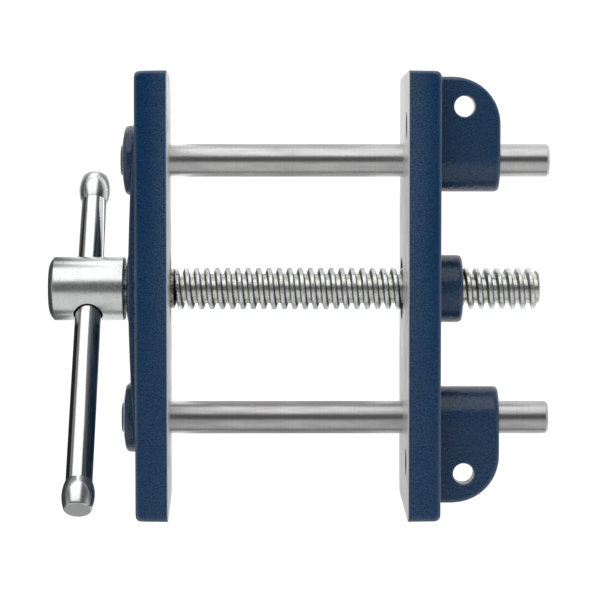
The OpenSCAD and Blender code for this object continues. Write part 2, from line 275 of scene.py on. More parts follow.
def maths(tree, operation, a, b=0.0, c=0.0, clamp=False):
    """Gives the result of a sum with up to three values."""
    settings = {"operation": operation, "use_clamp": clamp}
    return wire(tree, "ShaderNodeMath", settings, i0=a, i1=b, i2=c).outputs[0]


def product(tree, first, *others):
    """Gives all the values multiplied together."""
    for other in others:
        first = maths(tree, "MULTIPLY", first, other)
    return first


def ramp(tree, value, start, end, first=0.0, last=1.0, smooth=False):
    """Gives a value that goes from first to last while the other one goes from start to end."""
    settings = {"interpolation_type": "SMOOTHSTEP" if smooth else "LINEAR"}
    return wire(tree, "ShaderNodeMapRange", settings, Value=value, From_Min=start, From_Max=end, To_Min=first,
                To_Max=last).outputs[0]


def span(tree, value, first, last):
    """Gives a value that goes from first to last while the other one goes from 0 to 1."""
    return ramp(tree, value, 0.0, 1.0, first, last)


def blend(tree, share, first, second):
    """Gives a mix of two colours."""
    return wire(tree, "ShaderNodeMix", {"data_type": "RGBA"}, i0=share, i6=first, i7=second).outputs[2]


def bump(tree, height, strength, distance):
    """Gives a normal that shows a height."""
    return wire(tree, "ShaderNodeBump", Strength=strength, Distance=distance, Height=height).outputs[0]


def effect_group(name, output, **inputs):
    """Starts a shader node group with one Float output; each input is a Float or a Vector."""
    group = bpy.data.node_groups.new(name, "ShaderNodeTree")
    for label, kind in inputs.items():
        group.interface.new_socket(label.replace("_", " "), in_out="INPUT", socket_type=f"NodeSocket{kind}")
    group.interface.new_socket(output, in_out="OUTPUT", socket_type="NodeSocketFloat")
    return group, group.nodes.new("NodeGroupInput").outputs, group.nodes.new("NodeGroupOutput")


def effect(tree, group, **inputs):
    """Places a shader node group in a material and gives its output."""
    return wire(tree, "ShaderNodeGroup", {"node_tree": group}, **inputs).outputs[0]


def new_finish(name):
    """Starts a material, and gives it with its tree, its shader and its Object coordinates."""
    finish = bpy.data.materials.new(name)
    finish.use_nodes = True
    tree = finish.node_tree
    return finish, tree, tree.nodes["Principled BSDF"], wire(tree, "ShaderNodeTexCoord").outputs["Object"]


# soft cloudy variation, 0 to 1, with a patch size in metres
mottle, enter, leave = effect_group("mottle", "Value", Position="Vector", Patch_Size="Float",
                                    Contrast="Float")
per_patch = maths(mottle, "DIVIDE", 1.0, enter["Patch Size"])
cloud = wire(mottle, "ShaderNodeTexNoise", Vector=enter["Position"], Scale=per_patch, Detail=3.0,
             Roughness=0.55)
centred = maths(mottle, "SUBTRACT", cloud.outputs["Fac"], 0.5)
feed(mottle, leave, Value=maths(mottle, "MULTIPLY_ADD", centred, enter["Contrast"], 0.5, clamp=True))

# small scattered specks, a mask that is 1 in a speck
SPECK_EDGE = 0.08
specks, enter, leave = effect_group("specks", "Mask", Position="Vector", Spacing="Float", Share="Float")
per_speck = maths(specks, "DIVIDE", 1.0, enter["Spacing"])
spots = wire(specks, "ShaderNodeTexNoise", Vector=enter["Position"], Scale=per_speck, Detail=1.0,
             Roughness=0.5)
above = maths(specks, "SUBTRACT", 1.0, enter["Share"])
edge = maths(specks, "ADD", above, SPECK_EDGE)
feed(specks, leave, Mask=ramp(specks, spots.outputs["Fac"], above, edge, smooth=True))

# fine straight tool marks, 0 to 1: lines that lie square to the Across direction
tool_marks, enter, leave = effect_group("tool_marks", "Height", Position="Vector", Across="Vector",
                                        Pitch="Float")
station = wire(tool_marks, "ShaderNodeVectorMath", {"operation": "DOT_PRODUCT"}, i0=enter["Position"],
               i1=enter["Across"])
lines = maths(tool_marks, "DIVIDE", station.outputs["Value"], enter["Pitch"])
line_noise = wire(tool_marks, "ShaderNodeTexNoise", {"noise_dimensions": "1D"}, W=lines, Scale=1.0,
                  Detail=2.0, Roughness=0.6)
feed(tool_marks, leave, Height=line_noise.outputs["Fac"])

# blue spray paint over the sand-cast skin, drier in random patches; the top is greyer and lighter towards the
# gap between the jaws, a painted sheen
PAINT_DEEP = (0.0002, 0.0265, 0.0790, 1)
PAINT_DRY_AND_SHEEN = (0.0215, 0.0500, 0.1020, 1)
PAINT_EDGE_WEAR_AND_HIGHLIGHT = (0.0900, 0.1300, 0.1950, 1)
GAP_MIDDLE_X = -66.0 * MM
SHEEN_FROM_GAP = (54.0 * MM, 43.5 * MM)
SHEEN_ALONG_JAW = (-45.0 * MM, 30.0 * MM)
TOP_SURFACE = ((JAW_TOP - 8) * MM, (JAW_TOP - 2) * MM)
EDGE_WEAR_AND_HIGHLIGHT = (0.515, 0.545)
cast_paint, tree, surface, place = new_finish("cast_paint")
axes = wire(tree, "ShaderNodeSeparateXYZ", Vector=place).outputs
from_gap = maths(tree, "ABSOLUTE", maths(tree, "SUBTRACT", axes["X"], GAP_MIDDLE_X))
on_top = ramp(tree, axes["Z"], *TOP_SURFACE)
# painted sheen: the jaw tops turn lighter and greyer towards the gap between the jaws, more so towards +Y
sheen_near_gap = ramp(tree, from_gap, *SHEEN_FROM_GAP, first=-0.42, last=0.60, smooth=True)
sheen_toward_plus_y = ramp(tree, axes["Y"], *SHEEN_ALONG_JAW, first=0.25, last=1.0, smooth=True)
dry_and_sheen = maths(tree, "MULTIPLY_ADD", product(tree, sheen_near_gap, on_top), sheen_toward_plus_y, 0.27)
patches = effect(tree, mottle, Position=place, Patch_Size=32 * MM, Contrast=1.8)
dry_and_sheen = maths(tree, "MULTIPLY_ADD", patches, 0.3, dry_and_sheen, clamp=True)
grain = effect(tree, mottle, Position=place, Patch_Size=1.1 * MM, Contrast=2.2)
grit = effect(tree, mottle, Position=place, Patch_Size=0.45 * MM, Contrast=3.4)
level = maths(tree, "MULTIPLY_ADD", grit, 1.3, maths(tree, "MULTIPLY_ADD", grain, 0.4, 0.15))
blue = blend(tree, dry_and_sheen, PAINT_DEEP, PAINT_DRY_AND_SHEEN)
blue = wire(tree, "ShaderNodeVectorMath", {"operation": "SCALE"}, i0=blue, Scale=level).outputs[0]
# sharp edges turn lighter: partly rubbed paint, partly a painted highlight along the rims
pointed = wire(tree, "ShaderNodeNewGeometry").outputs["Pointiness"]
blue = blend(tree, ramp(tree, pointed, *EDGE_WEAR_AND_HIGHLIGHT, last=0.8), blue, PAINT_EDGE_WEAR_AND_HIGHLIGHT)
peel = effect(tree, mottle, Position=place, Patch_Size=1.6 * MM, Contrast=1.4)
rugged = maths(tree, "MULTIPLY_ADD", on_top, -0.5, 0.85)
feed(tree, surface, Base_Color=blue, Roughness=span(tree, peel, 0.18, 0.28),
     Normal=bump(tree, peel, rugged, 0.2 * MM), Specular_IOR_Level=0.55)

# bare grey iron, ground along the jaw, with a dull smear here and there
IRON_LIGHT = (0.96, 0.96, 0.97, 1)
IRON_DULL = (0.74, 0.73, 0.73, 1)
bare_iron, tree, surface, place = new_finish("bare_iron")
grinding = effect(tree, tool_marks, Position=place, Across=(0.2, 0.0, 1.0), Pitch=0.45 * MM)
smear = effect(tree, mottle, Position=place, Patch_Size=14 * MM, Contrast=2.0)
iron = blend(tree, product(tree, grinding, smear), IRON_LIGHT, IRON_DULL)
feed(tree, surface, Base_Color=iron, Roughness=span(tree, smear, 0.26, 0.42),
     Normal=bump(tree, grinding, 0.2, 0.03 * MM), Metallic=0.75)

# the filed chamfer along the gripping edge: bright, matt scratched iron
EDGE_LIGHT = (0.74, 0.74, 0.77, 1)
EDGE_DULL = (0.48, 0.48, 0.50, 1)
filed_edge, tree, surface, place = new_finish("filed_edge")
scratches = effect(tree, tool_marks, Position=place, Across=(0.0, 1.0, 0.3), Pitch=0.9 * MM)
feed(tree, surface, Base_Color=blend(tree, scratches, EDGE_LIGHT, EDGE_DULL),
     Roughness=span(tree, scratches, 0.40, 0.60), Metallic=0.25)


def machined_casting(name, casting, face_cut, edge_cut, bore_cut, hole_cut):
    """Rounds the cast form and takes the cuts out of it, each with the finish that it leaves."""
    piece = as_piece(name, casting, cast_paint)
    skin = piece.modifiers.new("cast_skin", "REMESH")
    skin.mode = "VOXEL"
    skin.voxel_size = CAST_VOXEL
    soften = piece.modifiers.new("cast_edges", "SMOOTH")
    soften.factor = CAST_SOFTENING
    soften.iterations = CAST_PASSES
    tools = [as_piece("face_cut", face_cut, bare_iron), as_piece("edge_cut", edge_cut, filed_edge),
             as_piece("bore_cut", bore_cut, bare_iron), as_piece("hole_cut", hole_cut, cast_paint)]
    for tool in tools:
        cut_with(piece, tool)
    settle(piece, *tools)
    return piece


casting = bmesh.new()
add_jaw_plate(casting, REAR_BACK_X, REAR_FACE_X)
root_x = REAR_BACK_X - BOSS_ROOT
inner_y = ROD_Y + EAR_EDGE_R
ear_rim = [(root_x, inner_y), (root_x, EAR_HALF - EAR_EDGE_R), (EAR_END_X - EAR_EDGE_R, inner_y)]
ear_rim += arc(EAR_END_X - EAR_R, EAR_HALF - EAR_R, EAR_R - EAR_EDGE_R, 0, 90, 10)
ear_levels = (-EAR_EDGE_R, EAR_EDGE_R - EAR_T)
for side in (-1, 1):
    add_rounded_block(casting, [(x, side * y, z) for x, y in ear_rim for z in ear_levels], EAR_EDGE_R)
    add_turned(casting, boss_profile(root_x, EAR_END_X, GUIDE_BOSS_R), along_x(side * ROD_Y, ROD_Z))
add_turned(casting, boss_profile(root_x, NUT_BOSS_END_X, NUT_BOSS_R), along_x(0, SCREW_Z))

face_cut = bmesh.new()
add_long_cut(face_cut, [(REAR_CUT_X, CUT_FOOT), (REAR_FACE_X, CUT_FOOT), (REAR_FACE_X, CUT_TOP),
                        (REAR_CUT_X, CUT_TOP)])
edge_cut = bmesh.new()
add_long_cut(edge_cut, chamfer_section(REAR_FACE_X, 1))
bore_cut = bmesh.new()
guide_bore = bore_profile(REAR_BORE_START, REAR_BORE_END, ROD_R + GUIDE_PLAY)
for side in (-1, 1):
    add_turned(bore_cut, guide_bore, along_x(side * ROD_Y, ROD_Z))
nut_bore = stepped_bore(REAR_BORE_START, NUT_SEAT_X, NUT_BORE_END, SCREW_HOLE_R, NUT_R + PRESS_PLAY)
add_turned(bore_cut, nut_bore, along_x(0, SCREW_Z))
hole_cut = bmesh.new()
add_turned(hole_cut, bore_profile(REAR_BORE_START, RECESS_X, RECESS_R), along_x(0, SCREW_Z))
bolt_mouth_r = BOLT_R + BOLT_EDGE + HOLE_OVER
bolt_hole = [(-EAR_T - HOLE_OVER, 0), (-EAR_T - HOLE_OVER, bolt_mouth_r), (-EAR_T + BOLT_EDGE, BOLT_R),
             (-BOLT_EDGE, BOLT_R), (HOLE_OVER, bolt_mouth_r), (HOLE_OVER, 0)]
for side in (-1, 1):
    add_turned(hole_cut, facing_hole(REAR_FACE_X), along_x(side * FACING_Y, FACING_Z), segments=48)
    upright = Matrix.Translation((0, side * BOLT_Y, 0)) @ Matrix.Rotation(-math.pi / 2, 4, "Y")
    add_turned(hole_cut, bolt_hole, upright, segments=64)
rear_jaw = machined_casting("rear_jaw_casting", casting, face_cut, edge_cut, bore_cut, hole_cut)
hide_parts("rear_jaw")
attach(rear_jaw, "base")

# Screw nut
# Threaded bush of satin yellow metal, pressed into the nut boss from behind; only its end ring shows.
# The solid is right as it is, so it only gets its turned finish.
BRASS_CLEAN = (0.55, 0.42, 0.19, 1)
BRASS_BROWN = (0.30, 0.21, 0.09, 1)
bush_metal, tree, surface, place = new_finish("bush_metal")
tarnish = effect(tree, mottle, Position=place, Patch_Size=4 * MM, Contrast=1.8)
turning = effect(tree, tool_marks, Position=place, Across=(1.0, 0.0, 0.0), Pitch=0.25 * MM)
feed(tree, surface, Base_Color=blend(tree, tarnish, BRASS_CLEAN, BRASS_BROWN),
     Roughness=span(tree, tarnish, 0.25, 0.45), Normal=bump(tree, turning, 0.2, 0.03 * MM), Metallic=1.0)


def dress_solid(label, finish):
    """Gives a CAD solid that keeps its shape a finish."""
    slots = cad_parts[label].data.materials
    slots.clear()
    slots.append(finish)


dress_solid("screw_nut", bush_metal)

# Front jaw
# The moving iron casting: a plate that leans in at the top, a bowed rib, two rod bosses and the screw pad.
# Painted as the rear jaw is; its gripping face, washer recess and bores are machined afterwards.
FRONT_FACE_TOP_X = -110.9
FRONT_LEAN = 2.0
FRONT_PLATE_X = -122.9
BOW = 4.7
BOW_TOP = 6.0
BOW_FOOT = -30.0
BOW_SLOPE = 2.0
BOW_HALF = 80.0
BOW_ROOT = 1.0
BOW_STATIONS = 48
ROD_BOSS_R = 13.3
ROD_BOSS_X = -130.2
ROD_BOSS_RISE = 0.8
ROD_RIM = 1.0
PAD_R = 14.0
PAD_X = -128.7
PAD_EDGE_R = 0.8
WASHER_RECESS_R = 14.25
WASHER_RECESS_X = -117.4
SHANK_BORE_R = 8.1
FRONT_CUT_X = -70.0
FRONT_BORE_START = -140.0
FRONT_BORE_END = -100.0


def add_bowed_rib(drawing):
    """Adds the rib as a row of sections whose front follows the bow."""
    rows = []
    root_x = FRONT_PLATE_X + BOW_ROOT
    for i in range(BOW_STATIONS + 1):
        y = BOW_HALF * (2 * i / BOW_STATIONS - 1)
        reach = BOW * (1 - (y / JAW_HALF) ** 2)
        slope = BOW_SLOPE * (reach + BOW_ROOT) / (BOW + BOW_ROOT)
        section = [(root_x, BOW_TOP), (FRONT_PLATE_X - reach, BOW_TOP - slope),
                   (FRONT_PLATE_X - reach, BOW_FOOT + slope), (root_x, BOW_FOOT)]
        rows.append([drawing.verts.new((x, y, z)) for x, z in section])
    drawing.faces.new(rows[0])
    drawing.faces.new(rows[-1])
    for row, after in zip(rows, rows[1:]):
        for i in range(4):
            k = (i + 1) % 4
            drawing.faces.new((row[i], row[k], after[k], after[i]))


casting = bmesh.new()
add_jaw_plate(casting, FRONT_PLATE_X, FRONT_FACE_TOP_X)
add_bowed_rib(casting)
root_x = FRONT_PLATE_X + BOSS_ROOT
rod_boss = [(root_x, 0), (root_x, ROD_BOSS_R)]
rod_boss += arc(ROD_BOSS_X + ROD_BOSS_RISE + CAST_R, ROD_BOSS_R - CAST_R, CAST_R, 90, 174)
rod_boss += [(ROD_BOSS_X, ROD_R + ROD_RIM), (ROD_BOSS_X, 0)]
for side in (-1, 1):
    add_turned(casting, rod_boss, along_x(side * ROD_Y, ROD_Z))
pad = [(root_x, 0), (root_x, PAD_R)]
pad += arc(PAD_X + PAD_EDGE_R, PAD_R - PAD_EDGE_R, PAD_EDGE_R, 90, 180) + [(PAD_X, 0)]
add_turned(casting, pad, along_x(0, SCREW_Z))


def front_face_x(z):
    """Where the leaning gripping face stands at a height."""
    return FRONT_FACE_TOP_X - FRONT_LEAN * (JAW_TOP - z) / (JAW_TOP - JAW_FOOT)


face_cut = bmesh.new()
add_long_cut(face_cut, [(FRONT_CUT_X, CUT_FOOT), (front_face_x(CUT_FOOT), CUT_FOOT),
                        (front_face_x(CUT_TOP), CUT_TOP), (FRONT_CUT_X, CUT_TOP)])
edge_cut = bmesh.new()
add_long_cut(edge_cut, chamfer_section(front_face_x(JAW_TOP - GRIP_CHAMFER), -1))
bore_cut = bmesh.new()
rod_bore = bore_profile(FRONT_BORE_START, FRONT_BORE_END, ROD_R + PRESS_PLAY)
for side in (-1, 1):
    add_turned(bore_cut, rod_bore, along_x(side * ROD_Y, ROD_Z))
shank_bore = stepped_bore(FRONT_BORE_START, WASHER_RECESS_X, FRONT_BORE_END, SHANK_BORE_R, WASHER_RECESS_R)
add_turned(bore_cut, shank_bore, along_x(0, SCREW_Z))
hole_cut = bmesh.new()
for side in (-1, 1):
    add_turned(hole_cut, facing_hole(FRONT_PLATE_X), along_x(side * FACING_Y, FACING_Z), segments=48)
front_jaw = machined_casting("front_jaw_casting", casting, face_cut, edge_cut, bore_cut, hole_cut)
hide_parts("front_jaw")
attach(front_jaw, "carriage")

# Guide rods
# Two bright steel rods, centreless ground and chamfered, pressed into the front jaw and free in the rear one.
# Their front ends were sprayed together with the casting.
ROD_NOSE_X = -130.9
ROD_TAIL_X = 32.9
ROD_CHAMFER = 0.9
ROD_PAINT_X = -129.6
STEEL_LIGHT = (0.71, 0.71, 0.71, 1)
STEEL_DULL_AND_SHADED = (0.46, 0.45, 0.45, 1)
SHADE_ACROSS = (-20.0 * MM, 20.0 * MM)
ground_steel, tree, surface, place = new_finish("ground_steel")
grinding = effect(tree, tool_marks, Position=place, Across=(1.0, 0.0, 0.0), Pitch=0.6 * MM)
drawn_out = wire(tree, "ShaderNodeVectorMath", {"operation": "MULTIPLY"}, i0=place, i1=(0.15, 1.0, 1.0))
smear = effect(tree, mottle, Position=drawn_out.outputs[0], Patch_Size=2.2 * MM, Contrast=2.4)
axes = wire(tree, "ShaderNodeSeparateXYZ", Vector=place).outputs
# painted shade: the rod on the -Y side is made duller all over
painted_shade_minus_y = ramp(tree, axes["Y"], *SHADE_ACROSS, first=0.25, last=0.0)
tone = maths(tree, "MULTIPLY_ADD", smear, 0.6, maths(tree, "MULTIPLY_ADD", grinding, 0.4, painted_shade_minus_y))
feed(tree, surface, Base_Color=blend(tree, tone, STEEL_LIGHT, STEEL_DULL_AND_SHADED),
     Roughness=span(tree, tone, 0.24, 0.34), Normal=bump(tree, grinding, 0.25, 0.03 * MM), Metallic=1.0)

rod_profile = [(ROD_NOSE_X, 0), (ROD_NOSE_X, ROD_R - ROD_CHAMFER), (ROD_NOSE_X + ROD_CHAMFER, ROD_R),
               (ROD_PAINT_X, ROD_R), (ROD_TAIL_X - ROD_CHAMFER, ROD_R), (ROD_TAIL_X, ROD_R - ROD_CHAMFER),
               (ROD_TAIL_X, 0)]
BARE, PAINTED = 0, 1
rod_finishes = 3 * [PAINTED] + 3 * [BARE]
for side, label in ((-1, "left"), (1, "right")):
    blank = bmesh.new()
    add_turned(blank, rod_profile, along_x(side * ROD_Y, ROD_Z), segments=128, finishes=rod_finishes)
    rod = as_piece(f"ground_guide_rod_{label}", blank, ground_steel, cast_paint)
    soft_shaded(rod.data)
    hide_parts(f"guide_rod_{label}")
    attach(rod, "carriage")

# Lead screw
# Zinc-plated steel: tenon, plain shank with a ring groove, dark neck, then a rolled coarse right-hand thread.
# The crests are rounded by the rolling, painted shade lies along their feet, and the roots stay faintly
# yellow.
TENON_X = -138.0
TENON_R = 7.4
SHANK_X = -127.1
SHANK_R = 8.0
SHANK_EDGE = 0.4
GROOVE_X = -115.7
GROOVE_END_X = -114.2
GROOVE_R = 6.5
NECK_X = -113.1
NECK_R = 7.5
NECK_END_X = -111.0
NECK_RUN = 0.9
SCREW_END_X = 29.7
END_CHAMFER = 3.0
END_OVER = 1.0
GAUGE_X = -150.0

THREAD_R = 7.95
ROOT_R = 5.65
PITCH = 4.0
TURNS = 36
STEPS_A_TURN = 64
FLANK = 0.65
CREST = 1.40
CREST_R = 0.3
RIDGE_SINK = 0.3
THREAD_TURN = 322 / 360
THREAD_RISE = 0.4
THREAD_LEAST = 0.08

ZINC_LIGHT = (0.92, 0.93, 0.94, 1)
ZINC_DULL = (0.30, 0.31, 0.31, 1)
ZINC_YELLOW = (0.88, 0.88, 0.76, 1)
ZINC_GRIME_AND_SHADE = (0.03, 0.03, 0.03, 1)
YELLOW_RADII = (7.2 * MM, 5.9 * MM)
FOOT_RADII = (5.72 * MM, 5.95 * MM)
CREST_RADII = (7.75 * MM, 7.1 * MM)
SOOT_RADII = (8.4 * MM, 8.1 * MM)
SOOT_ALONG = ((NECK_END_X + 4) * MM, NECK_END_X * MM)
SHADE_FADE_ALONG = (-10.0 * MM, 32.0 * MM)
zinc_plate, tree, surface, place = new_finish("zinc_plate")
radial = wire(tree, "ShaderNodeMapping", {"vector_type": "POINT"}, Vector=place,
              Location=(0, 0, -SCREW_Z * MM), Scale=(0.0, 1.0, 1.0))
off_axis = wire(tree, "ShaderNodeVectorMath", {"operation": "LENGTH"}, i0=radial.outputs[0]).outputs["Value"]
axes = wire(tree, "ShaderNodeSeparateXYZ", Vector=place).outputs
yellowed = product(tree, ramp(tree, off_axis, *YELLOW_RADII), 0.75)
# painted shade along the feet of the flanks, fading towards the free end; near the neck, dark specks of soot
shade_on_flank_feet = product(tree, ramp(tree, off_axis, *FOOT_RADII), ramp(tree, off_axis, *CREST_RADII))
soot = effect(tree, specks, Position=place, Spacing=0.7 * MM, Share=0.52)
near_neck = ramp(tree, axes["X"], *SOOT_ALONG, smooth=True)
sooty = product(tree, near_neck, soot, ramp(tree, off_axis, *SOOT_RADII))
shade_fade = ramp(tree, axes["X"], *SHADE_FADE_ALONG, first=0.92, last=0.45)
soot_and_flank_shade = product(tree, maths(tree, "MAXIMUM", shade_on_flank_feet, sooty), shade_fade)
pits = effect(tree, specks, Position=place, Spacing=0.6 * MM, Share=0.42)
streaks = effect(tree, tool_marks, Position=place, Across=(1.0, 0.0, 0.0), Pitch=0.45 * MM)
dulled = maths(tree, "MAXIMUM", product(tree, pits, 0.6), ramp(tree, streaks, 0.50, 0.75, last=0.45))
zinc = blend(tree, yellowed, ZINC_LIGHT, ZINC_YELLOW)
zinc = blend(tree, dulled, zinc, ZINC_DULL)
zinc = blend(tree, soot_and_flank_shade, zinc, ZINC_GRIME_AND_SHADE)
cloudy = effect(tree, mottle, Position=place, Patch_Size=2.2 * MM, Contrast=1.8)
feed(tree, surface, Base_Color=zinc, Roughness=span(tree, cloudy, 0.24, 0.44),
     Normal=bump(tree, cloudy, 0.4, 0.12 * MM), Metallic=1.0)


def rolled_thread_tree(finish):
    """Geometry Nodes tree: winds a rounded ridge round the screw's core, from in the neck past the end."""
    nodes = bpy.data.node_groups.new("rolled_thread", "GeometryNodeTree")
    face = nodes.interface
    face.new_socket("Core", in_out="INPUT", socket_type="NodeSocketGeometry")
    for label in ("Pitch", "Turns", "Root Radius", "Ridge Height", "Ridge Foot", "Crest", "Crest Radius",
                  "Sink", "Start Turn", "Rise Turns", "Least Size"):
        face.new_socket(label, in_out="INPUT", socket_type="NodeSocketFloat")
    face.new_socket("Steps", in_out="INPUT", socket_type="NodeSocketInt")
    face.new_socket("Start", in_out="INPUT", socket_type="NodeSocketVector")
    face.new_socket("Screw", in_out="OUTPUT", socket_type="NodeSocketGeometry")
    enter = nodes.nodes.new("NodeGroupInput").outputs
    leave = nodes.nodes.new("NodeGroupOutput")

    path = wire(nodes, "GeometryNodeCurvePrimitiveLine")
    path = wire(nodes, "GeometryNodeResampleCurve", Curve=path.outputs[0], Count=enter["Steps"])
    along = wire(nodes, "GeometryNodeSplineParameter").outputs["Factor"]
    turns_done = product(nodes, along, enter["Turns"])
    angle = product(nodes, maths(nodes, "ADD", turns_done, enter["Start Turn"]), 2 * math.pi)
    helix = wire(nodes, "ShaderNodeCombineXYZ",
                 X=product(nodes, maths(nodes, "COSINE", angle), enter["Root Radius"]),
                 Y=product(nodes, maths(nodes, "SINE", angle), enter["Root Radius"]),
                 Z=product(nodes, turns_done, enter["Pitch"]))
    path = wire(nodes, "GeometryNodeSetPosition", Geometry=path.outputs[0], Position=helix.outputs[0])
    path = wire(nodes, "GeometryNodeSetCurveNormal", {"mode": "Z_UP"}, Curve=path.outputs[0])
    run_in = maths(nodes, "DIVIDE", turns_done, enter["Rise Turns"])
    swell = maths(nodes, "MAXIMUM", maths(nodes, "MINIMUM", run_in, 1.0), enter["Least Size"])

    ridge = wire(nodes, "GeometryNodeCurvePrimitiveQuadrilateral", {"mode": "TRAPEZOID"}, Offset=0.0,
                 Height=enter["Ridge Height"], Bottom_Width=enter["Ridge Foot"], Top_Width=enter["Crest"])
    ridge = wire(nodes, "GeometryNodeFilletCurve", {"mode": "POLY"}, Curve=ridge.outputs[0],
                 Radius=enter["Crest Radius"], Count=4)
    lift = maths(nodes, "SUBTRACT", product(nodes, enter["Ridge Height"], 0.5), enter["Sink"])
    ridge = wire(nodes, "GeometryNodeTransform", Geometry=ridge.outputs[0], Rotation=(0, 0, -math.pi / 2),
                 Translation=wire(nodes, "ShaderNodeCombineXYZ", X=lift).outputs[0])
    wound = wire(nodes, "GeometryNodeCurveToMesh", Curve=path.outputs[0], Profile_Curve=ridge.outputs[0],
                 Fill_Caps=True, Scale=swell)
    wound = wire(nodes, "GeometryNodeTransform", Geometry=wound.outputs[0], Rotation=(0, math.pi / 2, 0),
                 Translation=enter["Start"])
    both = wire(nodes, "GeometryNodeMeshBoolean", {"operation": "UNION", "solver": "MANIFOLD"})
    nodes.links.new(wound.outputs[0], both.inputs["Mesh 2"])
    nodes.links.new(enter["Core"], both.inputs["Mesh 2"])
    plain = wire(nodes, "GeometryNodeRealizeInstances", Geometry=both.outputs[0])
    dressed = wire(nodes, "GeometryNodeSetMaterial", Geometry=plain.outputs[0], Material=finish)
    nodes.links.new(dressed.outputs[0], leave.inputs[0])
    return nodes


core_profile = [(TENON_X, 0), (TENON_X, TENON_R), (SHANK_X, TENON_R), (SHANK_X, SHANK_R), (GROOVE_X, SHANK_R),
                (GROOVE_X, GROOVE_R), (GROOVE_END_X, GROOVE_R), (GROOVE_END_X, SHANK_R),
                (NECK_X - SHANK_EDGE, SHANK_R), (NECK_X, SHANK_R - SHANK_EDGE), (NECK_X, NECK_R),
                (NECK_END_X, NECK_R), (NECK_END_X + NECK_RUN, ROOT_R), (SCREW_END_X + END_OVER, ROOT_R),
                (SCREW_END_X + END_OVER, 0)]
core = bmesh.new()
add_turned(core, core_profile, along_x(0, SCREW_Z))
lead_screw = as_piece("rolled_lead_screw", core, zinc_plate)
thread = rolled_thread_tree(zinc_plate)
winding = lead_screw.modifiers.new("rolled_thread", "NODES")
winding.node_group = thread
thread_depth = THREAD_R - ROOT_R
ridge_height = thread_depth + RIDGE_SINK
ridge_foot = CREST + 2 * FLANK * ridge_height / thread_depth
thread_sizes = {"Pitch": PITCH * MM, "Turns": float(TURNS), "Root Radius": ROOT_R * MM,
                "Ridge Height": ridge_height * MM, "Ridge Foot": ridge_foot * MM, "Crest": CREST * MM,
                "Crest Radius": CREST_R * MM, "Sink": RIDGE_SINK * MM, "Start Turn": THREAD_TURN,
                "Rise Turns": THREAD_RISE, "Least Size": THREAD_LEAST, "Steps": TURNS * STEPS_A_TURN + 1,
                "Start": ((NECK_X + FLANK + CREST / 2) * MM, 0.0, SCREW_Z * MM)}
for socket in thread.interface.items_tree:
    if socket.in_out == "INPUT" and socket.name in thread_sizes:
        winding[socket.identifier] = thread_sizes[socket.name]
gauge = bmesh.new()
gauge_r = THREAD_R + END_OVER
add_turned(gauge, [(GAUGE_X, 0), (GAUGE_X, gauge_r), (SCREW_END_X - END_CHAMFER, gauge_r),
                   (SCREW_END_X, gauge_r - END_CHAMFER), (SCREW_END_X, 0)], along_x(0, SCREW_Z))
end_gauge = as_piece("end_gauge", gauge, zinc_plate)
cut_with(lead_screw, end_gauge, "INTERSECT")
settle(lead_screw, end_gauge)
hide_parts("lead_screw")
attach(lead_screw, "screw")

# Thrust washer and retaining ring
# A flat plated washer and a blackened spring ring in the groove hold the screw in the front jaw's recess.
# Both solids are right as they are, so they only get their finishes.
SPRING_BLACK = (0.030, 0.030, 0.032, 1)
SPRING_RUBBED = (0.16, 0.16, 0.17, 1)
spring_black, tree, surface, place = new_finish("spring_black")
rubbed = effect(tree, mottle, Position=place, Patch_Size=3 * MM, Contrast=2.2)
feed(tree, surface, Base_Color=blend(tree, rubbed, SPRING_BLACK, SPRING_RUBBED),
     Roughness=span(tree, rubbed, 0.5, 0.3), Metallic=0.9)
dress_solid("thrust_washer", zinc_plate)
dress_solid("retaining_ring", spring_black)

# Screw head
# Turned from round bar, with a domed front edge, cross-drilled for the handle bar and pressed on the tenon.
# It is bright plated over faint turning marks.
HEAD_FRONT_X = -159.0
HEAD_REAR_X = -129.8
HEAD_R = 12.25
HEAD_FACE_R = 9.05
HEAD_FLAT_SHARE = 0.6
HEAD_FACE_FALL = 0.05
HEAD_DOME = 2.2
HEAD_DOME_POWER = 1.5
HEAD_DOME_STEPS = 8
HEAD_REAR_EDGE = 0.6
BAR_X = -143.7
BAR_HOLE_R = 5.65
BAR_HOLE_HALF = 20.0
BAR_TURN = math.radians(38)
BAR_LINE = Vector((0, -math.cos(BAR_TURN), math.sin(BAR_TURN)))

PLATE_BRIGHT = (0.85, 0.86, 0.86, 1)
PLATE_GREY = (0.70, 0.71, 0.70, 1)
PLATE_SPECK = (0.34, 0.34, 0.33, 1)


def bright_plating(name, line, smooth, dull, metal):
    """Bright plated steel, turned round an axis line, with its least and most roughness."""
    finish, tree, surface, place = new_finish(name)
    turning = effect(tree, tool_marks, Position=place, Across=line, Pitch=0.4 * MM)
    haze = effect(tree, mottle, Position=place, Patch_Size=5 * MM, Contrast=1.7)
    pores = effect(tree, specks, Position=place, Spacing=0.8 * MM, Share=0.34)
    plate = blend(tree, product(tree, turning, haze), PLATE_BRIGHT, PLATE_GREY)
    plate = blend(tree, product(tree, pores, 0.4), plate, PLATE_SPECK)
    grain = effect(tree, mottle, Position=place, Patch_Size=1.2 * MM, Contrast=1.5)
    relief = maths(tree, "ADD", grain, turning)
    feed(tree, surface, Base_Color=plate, Roughness=span(tree, haze, smooth, dull),
         Normal=bump(tree, relief, 0.12, 0.04 * MM), Metallic=metal)
    return finish


